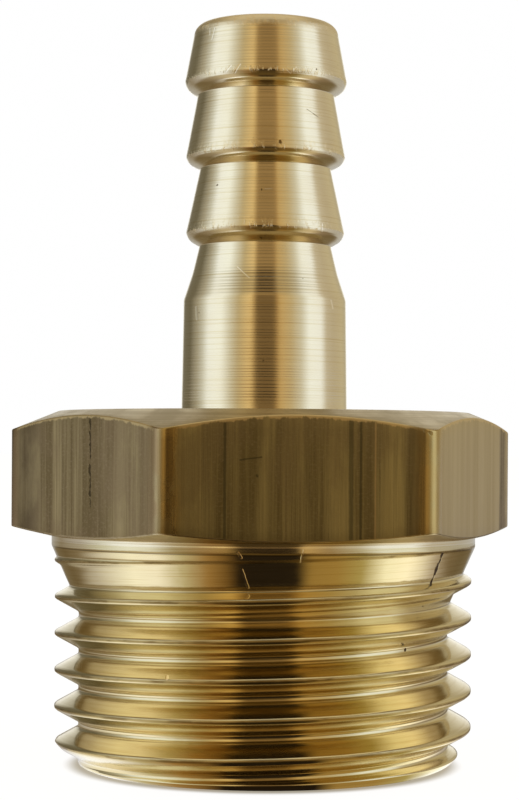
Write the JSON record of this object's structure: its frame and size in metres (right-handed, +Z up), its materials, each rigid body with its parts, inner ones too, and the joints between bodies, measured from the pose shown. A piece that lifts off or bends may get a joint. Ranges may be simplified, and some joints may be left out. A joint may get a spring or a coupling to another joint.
{
  "type": "hose barb tail",
  "caption": "Turned brass hose tail: a barbed spigot for a small hose, a spanner hexagon and a male parallel pipe thread with a through passage.",
  "frame": {"origin": "centre of the threaded end's face, which the part stands on", "axes": "+Z up the turning axis through the hexagon towards the tip of the barbs; one flat of the hexagon faces -Y"},
  "size_m": [0.0252, 0.022, 0.037],
  "materials": {
    "brass": "bright turned, drawn flats slightly tarnished"
  },
  "bodies": {
    "root": {"hose_tail": "brass"}
  },
  "joints": []
}
